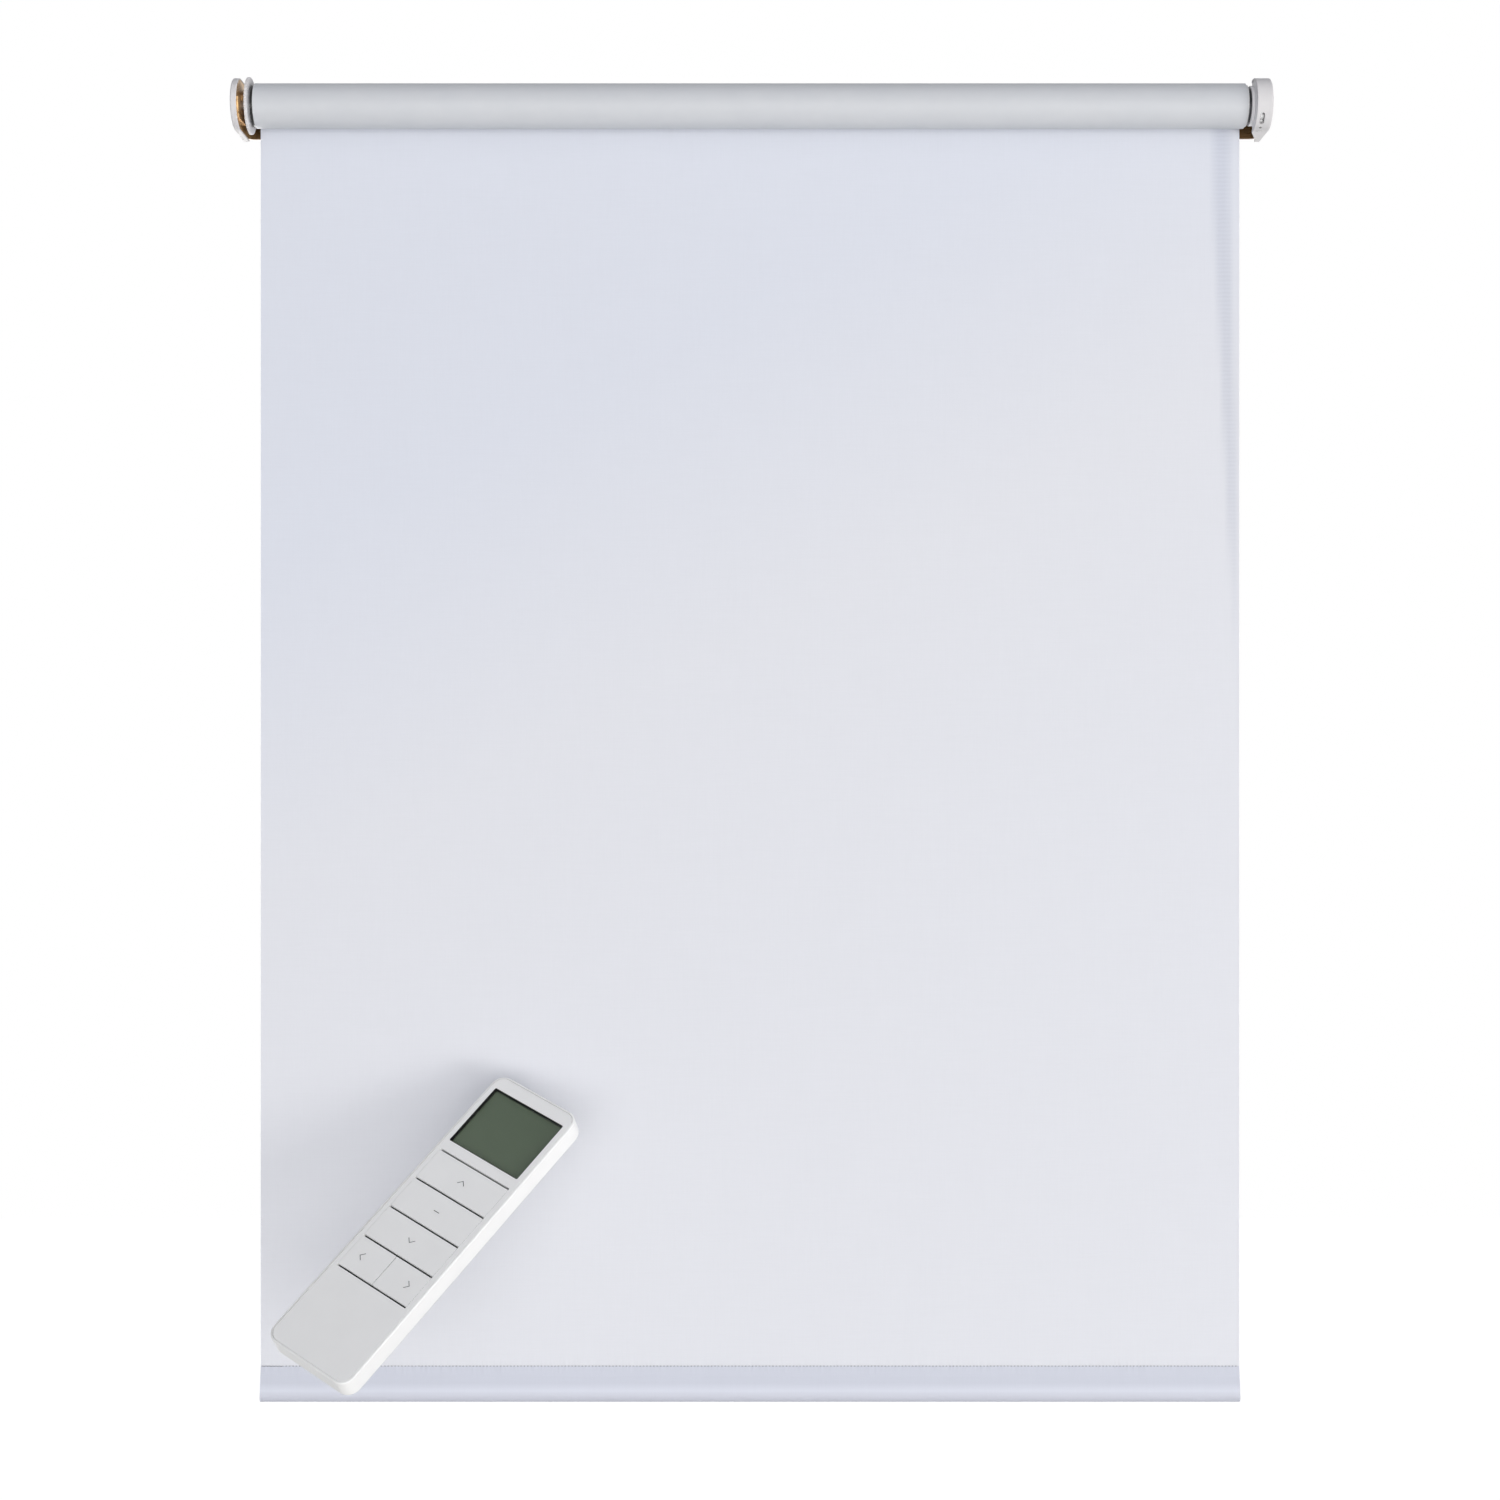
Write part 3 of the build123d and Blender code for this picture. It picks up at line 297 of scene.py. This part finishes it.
# Idler end
# A black plug in the tube's other end turns on a ball bearing round a fixed sleeve, and a white wheel with
# a scalloped rim screws the steel pin in and out.
polished_black = moulding("polished_black", (0.004, 0.004, 0.005), (0.008, 0.008, 0.009), 0.12,
                          depth=0.000002, gloss=0.3)
dress(polished_black, "idler_plug")
dress(gear_white, "spindle_sleeve")
dress(bright_steel, "bearing_inner_ring", "bearing_outer_ring", "bearing_balls", "bearing_cap",
      "idler_spindle")
dress(cover_white, "adjusting_wheel")

# Tube
# Extruded aluminium with a key rib along its bore, as it comes from the press. A pale moulded crown closes
# its right end and runs on the motor's casing.
aluminium = metal("aluminium", (0.60, 0.61, 0.62), (0.68, 0.69, 0.70), 0.3, (0.03, 1, 1))
dress(aluminium, "roller_tube")
cap_plastic = moulding("cap_plastic", (0.66, 0.66, 0.67), (0.70, 0.70, 0.71), 0.4)
dress(cap_plastic, "crown")

# Cloth on the roller
# A woven polyester with a smooth coating on its reverse, which is outermost on the roll. It is taped to the
# tube, and one turn of it is left on the tube when the blind is down.
roller_axis = -0.02
roll_radius = 0.01285
cloth_thickness = 0.00035
half_width = 0.2875
cloth_reverse = moulding("cloth_reverse", (0.605, 0.622, 0.65), (0.625, 0.64, 0.665), 0.46,
                         grain=1400.0, depth=0.000006)
bpy.ops.mesh.primitive_circle_add(vertices=160, radius=roll_radius, location=(-half_width, roller_axis, 0),
                                  rotation=(0, math.radians(90), 0))
roll = bpy.context.object
roll.name = "rolled_cloth"
bpy.ops.object.transform_apply(location=True, rotation=True, scale=True)
bpy.ops.object.mode_set(mode="EDIT")
bpy.ops.mesh.select_all(action="SELECT")
bpy.ops.mesh.extrude_region_move(TRANSFORM_OT_translate={"value": (2 * half_width, 0, 0)})
bpy.ops.mesh.select_all(action="SELECT")
bpy.ops.mesh.normals_make_consistent(inside=False)
bpy.ops.object.mode_set(mode="OBJECT")
thicken = roll.modifiers.new("thickness", "SOLIDIFY")
thicken.thickness = cloth_thickness
thicken.offset = -1
bpy.ops.object.modifier_apply(modifier=thicken.name)
bpy.ops.object.shade_smooth_by_angle(angle=math.radians(40))
roll.data.materials.append(cloth_reverse)
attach(roll, "roller")
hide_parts("cloth_wrap")

# Hanging cloth
# It leaves the roll at the back and hangs down to the hem. Its right edge curls a little towards the room
# near the top, and it keeps a few faint creases from being packed.
cloth_front = -0.00685
stitch_height = -0.737
curl_top = 0.2771
curl_bottom = 0.2863
# Each crease has its middle across and down, and its half width and half height.
creases = ((-0.094, -0.176, 0.020, 0.0035), (-0.059, -0.372, 0.004, 0.012), (0.026, -0.055, 0.010, 0.004))


def woven(name, tones):
    """A fine plain weave with slightly uneven threads, in the tones that a function works out."""
    material, tree, shader = blank(name)
    across = speckle(tree, 60, (1, 1, 40))
    along = speckle(tree, 60, (40, 1, 1))
    threads = add_node(tree, "Math", operation="ADD")
    tree.links.new(across, threads.inputs[0])
    tree.links.new(along, threads.inputs[1])
    uneven = between(tree, threads.outputs[0], 0.988, 1.008, 0.7, 1.3)
    tint = add_node(tree, "Mix", data_type="RGBA", blend_type="MULTIPLY")
    tint.inputs[0].default_value = 1.0
    tree.links.new(tones(tree), tint.inputs[6])
    tree.links.new(uneven, tint.inputs[7])
    tree.links.new(tint.outputs[2], shader.inputs["Base Color"])
    shader.inputs["Roughness"].default_value = 0.82
    shader.inputs["Specular IOR Level"].default_value = 0.25
    shader.inputs["Sheen Weight"].default_value = 0.08
    shader.inputs["Sheen Roughness"].default_value = 0.5
    fineness = 520.0
    weft = add_node(tree, "TexWave", bands_direction="Z", Scale=fineness)
    warp = add_node(tree, "TexWave", bands_direction="X", Scale=fineness)
    for wave in (weft, warp):
        tree.links.new(place_on(tree), wave.inputs["Vector"])
    weave = add_node(tree, "Math", operation="MULTIPLY")
    tree.links.new(weft.outputs["Fac"], weave.inputs[0])
    tree.links.new(warp.outputs["Fac"], weave.inputs[1])
    slubs = relief(tree, shader, threads.outputs[0], 0.00001)
    plain_weave = relief(tree, shader, weave.outputs[0], 0.000015, below=slubs)
    # Small gathers that the sewing pulls into the cloth on both sides of the seam.
    level = add_node(tree, "SeparateXYZ")
    tree.links.new(place_on(tree, shift=(0, 0, -stitch_height)), level.inputs[0])
    distance = add_node(tree, "Math", operation="ABSOLUTE")
    tree.links.new(level.outputs["Z"], distance.inputs[0])
    near_seam = between(tree, distance.outputs[0], 1, 0, 0.0003, 0.006)
    gathers = add_node(tree, "Math", operation="MULTIPLY")
    tree.links.new(speckle(tree, 420, (1, 1, 0.12), detail=1.5), gathers.inputs[0])
    tree.links.new(near_seam, gathers.inputs[1])
    relief(tree, shader, gathers.outputs[0], 0.0005, below=plain_weave)
    return material, tree, shader, tint


def painted_shade_gradient(tree):
    """A faintly bluish white, darker as painted shade, that turns lighter and more neutral downwards and to
    the right.
    """
    lean = add_node(tree, "SeparateXYZ")
    tree.links.new(place_on(tree, turn=(0, math.radians(-62), 0)), lean.inputs[0])
    lower = between(tree, lean.outputs["X"], 0, 1, 0.10, 0.27)
    return two_tones(tree, lower, (0.72, 0.745, 0.815), (0.76, 0.77, 0.812))


cloth_face, tree, shader, tint = woven("cloth_face", painted_shade_gradient)


def smooth_step(value):
    """0 below 0, 1 above 1, and smooth between."""
    held = min(1.0, max(0.0, value))
    return held * held * (3 - 2 * held)


def curl_line(z):
    """How far down its length the curl is, from 0 to 1, and where its middle is there."""
    down = min(1.0, max(0.0, (-z - 0.05) / 0.28))
    return down, curl_top + (curl_bottom - curl_top) * down


def curl_fade(z):
    """The curl's fading out downwards, from 1 to 0."""
    return smooth_step((0.36 + z) / 0.18)


def curl(x, z):
    """How strongly the cloth's right edge curls at a point, from 0 to 1, which also sets how deep its
    painted shade is.
    """
    down, middle = curl_line(z)
    half = 0.0052 - 0.0034 * down
    return math.exp(-((x - middle) / half) ** 4) * curl_fade(z)


def stand_off(x, z):
    """How far the cloth's face stands from its plane, towards the wall."""
    middle = curl_line(z)[1]
    forward = -0.0004 * smooth_step((x - middle + 0.006) / 0.012) * curl_fade(z)
    for crease_x, crease_z, wide, tall in creases:
        forward += 0.00025 * math.exp(-((x - crease_x) / wide) ** 2 - ((z - crease_z) / tall) ** 2)
    billow = 0.0002 * math.sin(9.0 * x + 1.0) * math.sin(7.0 * z + 0.4) * smooth_step(-z / 0.1)
    return forward * smooth_step(-z / 0.03) + billow * smooth_step((z - stitch_height) / 0.08)


def hanging(u, v):
    """A point on the cloth's face, from its top left."""
    x = (u - 0.5) * 2 * half_width
    z = v * stitch_height
    settle = -0.0003 * (1 - smooth_step(-z / 0.03))
    return x, cloth_front + settle + stand_off(x, z), z


def sheet_of_cloth(name, columns, rows, place, face, full_from=0.0):
    """Cloth laid out as a grid, face first, then given its thickness and its coated reverse."""
    bpy.ops.mesh.primitive_grid_add(x_subdivisions=columns, y_subdivisions=rows, size=2)
    sheet = bpy.context.object
    sheet.name = name
    body = sheet.vertex_groups.new(name="body")
    for vertex in sheet.data.vertices:
        u = (vertex.co.x + 1) / 2
        v = (1 - vertex.co.y) / 2
        vertex.co = place(u, v)
        body.add([vertex.index], 1.0 if full_from == 0 else smooth_step(v / full_from), "REPLACE")
    thicken = sheet.modifiers.new("thickness", "SOLIDIFY")
    thicken.thickness = cloth_thickness
    thicken.offset = -1
    thicken.vertex_group = body.name
    thicken.thickness_vertex_group = 0.1
    thicken.material_offset = 1
    thicken.material_offset_rim = 0
    sheet.data.materials.append(face)
    sheet.data.materials.append(cloth_reverse)
    bpy.ops.object.modifier_apply(modifier=thicken.name)
    sheet.vertex_groups.clear()
    bpy.ops.object.shade_smooth_by_angle(angle=math.radians(50))
    return sheet


cloth = sheet_of_cloth("hanging_cloth", 192, 120, hanging, cloth_face, full_from=0.03)
# Painted shade: along the curled right edge the colour is darkened in ribs stacked down the cloth, as
# strongly as the edge curls there.
curl_shade_values = cloth.data.attributes.new("curl", "FLOAT", "POINT")
for vertex in cloth.data.vertices:
    curl_shade_values.data[vertex.index].value = curl(vertex.co.x, vertex.co.z)
curl_shade_mask = add_node(tree, "Attribute", attribute_name="curl")
ribs = add_node(tree, "TexWave", bands_direction="Z", Scale=130.0, Distortion=1.5)
ribs.inputs["Detail Scale"].default_value = 2.0
tree.links.new(place_on(tree), ribs.inputs["Vector"])
ribbed_shade = two_tones(tree, ribs.outputs["Fac"], (0.84, 0.85, 0.88), (0.88, 0.89, 0.92))
shade = add_node(tree, "Mix", data_type="RGBA", blend_type="MULTIPLY")
tree.links.new(curl_shade_mask.outputs["Fac"], shade.inputs[0])
tree.links.new(tint.outputs[2], shade.inputs[6])
tree.links.new(ribbed_shade, shade.inputs[7])
tree.links.new(shade.outputs[2], shader.inputs["Base Color"])
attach(cloth, "mounting")
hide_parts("cloth")
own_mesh(cloth)

# Hem
# The cloth's end is folded back round an aluminium bar and sewn down with a row of lockstitches, which
# starts with a few stitches on top of each other at the left. A moulded cap closes each end of the bar.
hem_radius = 0.004
hem_centre = -0.754
hem_bottom = hem_centre - hem_radius
hem_middle = -0.006675
seam_top = stitch_height - 0.00006
seam_front = 0.00018
seam_back = 0.0008
flap = 0.004
hem_slant = math.asin(hem_radius / (stitch_height - hem_centre))
straight = (stitch_height - hem_centre) / math.cos(hem_slant) - hem_radius * math.tan(hem_slant)
round_turn = math.pi + 2 * hem_slant
around = 2 * straight + hem_radius * round_turn + flap


def pucker(x, z):
    """The small gathers that the thread pulls into the cloth along the seam."""
    fading = math.exp(-abs(z - stitch_height) / 0.0045)
    return 0.00007 * fading * (math.sin(x * 1900) + 0.7 * math.sin(x * 1130 + 1) + 0.5 * math.sin(x * 611))


def folded(u, v):
    """A point on the hem's outer face, going down the front, round the bar and up the back."""
    x = (u - 0.5) * 2 * half_width
    run = v * around
    if run < straight:
        share = run / straight
        y = hem_middle - seam_front - (hem_radius * math.cos(hem_slant) - seam_front) * share
        z = seam_top + (hem_centre + hem_radius * math.sin(hem_slant) - seam_top) * share
    elif run < straight + hem_radius * round_turn:
        angle = math.pi - hem_slant + (run - straight) / hem_radius
        y = hem_middle + hem_radius * math.cos(angle)
        z = hem_centre + hem_radius * math.sin(angle)
    elif run < around - flap:
        share = (run - straight - hem_radius * round_turn) / straight
        y = hem_middle + hem_radius * math.cos(hem_slant) * (1 - share) + seam_back * share
        z = hem_centre + hem_radius * math.sin(hem_slant) * (1 - share)
        z += (stitch_height - hem_centre) * share
    else:
        above_seam = run - (around - flap)
        y = hem_middle + seam_back + 0.1 * above_seam
        z = stitch_height + above_seam
    return x, y + pucker(x, z), z


def hem_tone_and_painted_light(tree):
    """The doubled cloth is darker and bluer, with a painted highlight where it stretches over the bar's
    upper front and painted shade darkening the bar's underside.
    """
    split = add_node(tree, "SeparateXYZ")
    tree.links.new(place_on(tree), split.inputs[0])
    tones = add_node(tree, "ValToRGB")
    stops = tones.color_ramp.elements
    # From the seam down: the doubled cloth, a painted highlight over the bar's upper front, then painted
    # shade down to the bar's underside.
    stops[0].position = 0.45
    stops[0].color = (0.605, 0.628, 0.71, 1)
    stops[1].position = 0.66
    stops[1].color = (0.695, 0.72, 0.805, 1)
    stops.new(0.82).color = (0.57, 0.585, 0.66, 1)
    stops.new(1.0).color = (0.51, 0.525, 0.60, 1)
    tree.links.new(between(tree, split.outputs["Z"], 0, 1, stitch_height, hem_bottom), tones.inputs["Fac"])
    return tones.outputs["Color"]


hem_face, tree, shader, tint = woven("hem_face", hem_tone_and_painted_light)
shader.inputs["Roughness"].default_value = 0.42
shader.inputs["Specular IOR Level"].default_value = 0.5
pocket = sheet_of_cloth("hem_fold", 384, 60, folded, hem_face)
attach(pocket, "hem")
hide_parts("hem_pocket")

# Painted shade: the thread is dark grey for the shade in the needle holes, and darker still where the first
# stitches lie doubled.
thread = moulding("thread", (0.13, 0.135, 0.16), (0.24, 0.245, 0.28), 0.6, 4000.0, 0.00002)
doubled_thread_hole_shade = moulding("doubled_thread_hole_shade", (0.07, 0.07, 0.08), (0.12, 0.12, 0.13), 0.6, 4000.0, 0.00002)
stitch_pitch = 0.002
first_stitch = -0.2865


def stitch_row(name, first, count, height, y, colour):
    """A row of short stitches lying on the cloth."""
    bpy.ops.mesh.primitive_uv_sphere_add(segments=8, ring_count=5, radius=1, location=(0, 0, 0),
                                         rotation=(0, math.radians(90), 0))
    row = bpy.context.object
    row.name = name
    row.scale = (0.00018, 0.00014, 0.0006)
    bpy.ops.object.transform_apply(location=True, rotation=True, scale=True)
    bpy.ops.object.mode_set(mode="EDIT")
    bpy.ops.mesh.select_all(action="SELECT")
    bpy.ops.transform.translate(value=(first, y, height))
    bpy.ops.object.mode_set(mode="OBJECT")
    repeat = row.modifiers.new("row", "ARRAY")
    repeat.count = count
    repeat.use_relative_offset = False
    repeat.use_constant_offset = True
    repeat.constant_offset_displace = (stitch_pitch, 0, 0)
    bpy.ops.object.modifier_apply(modifier=repeat.name)
    bpy.ops.object.shade_smooth()
    row.data.materials.append(colour)
    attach(row, "hem")
    return row


stitches = stitch_row("stitches_front", first_stitch, 287, stitch_height, hem_middle - 0.00036, thread)
backstitches = stitch_row("stitches_start", -0.2855, 6, stitch_height - 0.0001, hem_middle - 0.00042,
                          doubled_thread_hole_shade)
stitches_back = stitch_row("stitches_back", first_stitch, 287, stitch_height,
                           hem_middle + seam_back + 0.00016, thread)
dress(aluminium, "hem_bar")
dress(cap_plastic, "hem_caps")

# Remote control
# Two moulded shells in a soft white, with a display behind a clear window and five keys over a black
# rubber mat, so that the gaps between the rows of keys look black. It leans back and turns to the left.
turn = math.radians(12.66)
lean = math.radians(42.4)
roll_over = math.radians(28.3)
face_normal = Vector((-math.sin(turn) * math.cos(lean), -math.cos(turn) * math.cos(lean), math.sin(lean)))
level = Vector((math.cos(turn), -math.sin(turn), 0))
rising = face_normal.cross(level)
face_right = level * math.cos(roll_over) - rising * math.sin(roll_over)
face_up = face_normal.cross(face_right)
handset_half = 0.1
handset_centre = Vector((-0.180, -0.088, -0.638))
handset_axes = Matrix((face_right, face_up, face_normal)).transposed()
handset_place = Matrix.Translation(handset_centre) @ handset_axes.to_4x4()
to_handset = handset_place.inverted()


def on_handset(tree):
    """Coordinates with the remote lying face up: x across it, y towards its display end, z out of it."""
    spot = place_on(tree, turn=to_handset.to_euler(), shift=to_handset.translation)
    split = add_node(tree, "SeparateXYZ")
    tree.links.new(spot, split.inputs[0])
    return split.outputs


handset_white = moulding("handset_white", (0.93, 0.93, 0.92), (0.945, 0.945, 0.935), 0.45, gloss=0.05)
dress(handset_white, "handset_front", "handset_back", "battery_door")
key_white = moulding("key_white", (0.93, 0.93, 0.92), (0.945, 0.945, 0.935), 0.45, gloss=0.05)
tree = key_white.node_tree
shader = tree.nodes["Principled BSDF"]
plain = shader.inputs["Base Color"].links[0].from_socket
# The marks are the floors of engravings in the keys, 0.12 mm deep and filled with a dark paint.
engraving_depth = 0.00012
depth = on_handset(tree)["Z"]
engraved = add_node(tree, "Math", operation="COMPARE")
engraved.inputs[1].default_value = -engraving_depth
engraved.inputs[2].default_value = engraving_depth / 3
tree.links.new(depth, engraved.inputs[0])
marked = add_node(tree, "Mix", data_type="RGBA")
marked.inputs[7].default_value = (0.05, 0.05, 0.05, 1)
tree.links.new(engraved.outputs[0], marked.inputs[0])
tree.links.new(plain, marked.inputs[6])
tree.links.new(marked.outputs[2], shader.inputs["Base Color"])
dress(key_white, "key_up", "key_stop", "key_down", "key_left", "key_right")
dress(moulding("black_rubber", (0.006, 0.006, 0.007), (0.010, 0.010, 0.011), 0.8, gloss=0.1), "keypad_mat")

glass, tree, shader = blank("display_glass")
shader.inputs["Base Color"].default_value = (0.97, 0.98, 0.97, 1)
shader.inputs["Transmission Weight"].default_value = 1.0
shader.inputs["IOR"].default_value = 1.2
smudges = speckle(tree, 40, detail=1)
tree.links.new(between(tree, smudges, 0.01, 0.03), shader.inputs["Roughness"])
# Lamps shine straight through the window.
path = add_node(tree, "LightPath")
lighting = add_node(tree, "Math", operation="MAXIMUM")
tree.links.new(path.outputs["Is Shadow Ray"], lighting.inputs[0])
tree.links.new(path.outputs["Is Diffuse Ray"], lighting.inputs[1])
clear = add_node(tree, "BsdfTransparent")
window = add_node(tree, "MixShader")
tree.links.new(lighting.outputs[0], window.inputs[0])
tree.links.new(shader.outputs[0], window.inputs[1])
tree.links.new(clear.outputs[0], window.inputs[2])
tree.links.new(window.outputs[0], tree.nodes["Material Output"].inputs["Surface"])
dress(glass, "display_window")

liquid_crystal, tree, shader = blank("liquid_crystal")
spots = speckle(tree, 30, detail=1)
tree.links.new(two_tones(tree, between(tree, spots, 0, 1), (0.080, 0.112, 0.070), (0.090, 0.124, 0.079)),
               shader.inputs["Base Color"])
shader.inputs["Roughness"].default_value = 0.5
shader.inputs["Specular IOR Level"].default_value = 0.3
dress(liquid_crystal, "display_panel")

# A black lining stands in the display's opening, and a black mask lies under the window's edge.
display_size = Vector((0.052, 0.0415))
display_down = 0.03025


def black_frame(name, outer, wall, top, bottom):
    """A black frame round the display, drawn with the remote lying face up and then set in its place."""
    bpy.ops.mesh.primitive_plane_add(size=1, location=(0, handset_half - display_down, top))
    piece = bpy.context.object
    piece.name = name
    piece.scale = (outer.x, outer.y, 1)
    bpy.ops.object.transform_apply(location=True, rotation=True, scale=True)
    bpy.ops.object.mode_set(mode="EDIT")
    bpy.ops.mesh.select_all(action="SELECT")
    bpy.ops.mesh.bevel(offset=0.0008, segments=5, affect="VERTICES")
    bpy.ops.mesh.select_all(action="SELECT")
    bpy.ops.mesh.inset(thickness=wall)
    bpy.ops.mesh.delete(type="FACE")
    bpy.ops.mesh.select_all(action="SELECT")
    bpy.ops.mesh.extrude_region_move(TRANSFORM_OT_translate={"value": (0, 0, bottom - top)})
    bpy.ops.mesh.select_all(action="SELECT")
    bpy.ops.mesh.normals_make_consistent(inside=False)
    bpy.ops.object.mode_set(mode="OBJECT")
    piece.matrix_world = handset_place
    bpy.ops.object.transform_apply(location=True, rotation=True, scale=True)
    piece.data.materials.append(display_black)
    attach(piece, "handset")


display_black = moulding("display_black", (0.006, 0.006, 0.006), (0.011, 0.011, 0.011), 0.35)
black_frame("display_lining", display_size - Vector((0.0001, 0.0001)), 0.0003, -0.00012, -0.00138)
black_frame("display_mask", display_size + Vector((0.001, 0.001)), 0.0013, -0.00222, -0.00228)

dress(board_green, "handset_board")
dress(sleeve, "handset_cells")
dress(nickel, "handset_contacts")
dress(bright_steel, "handset_screws")
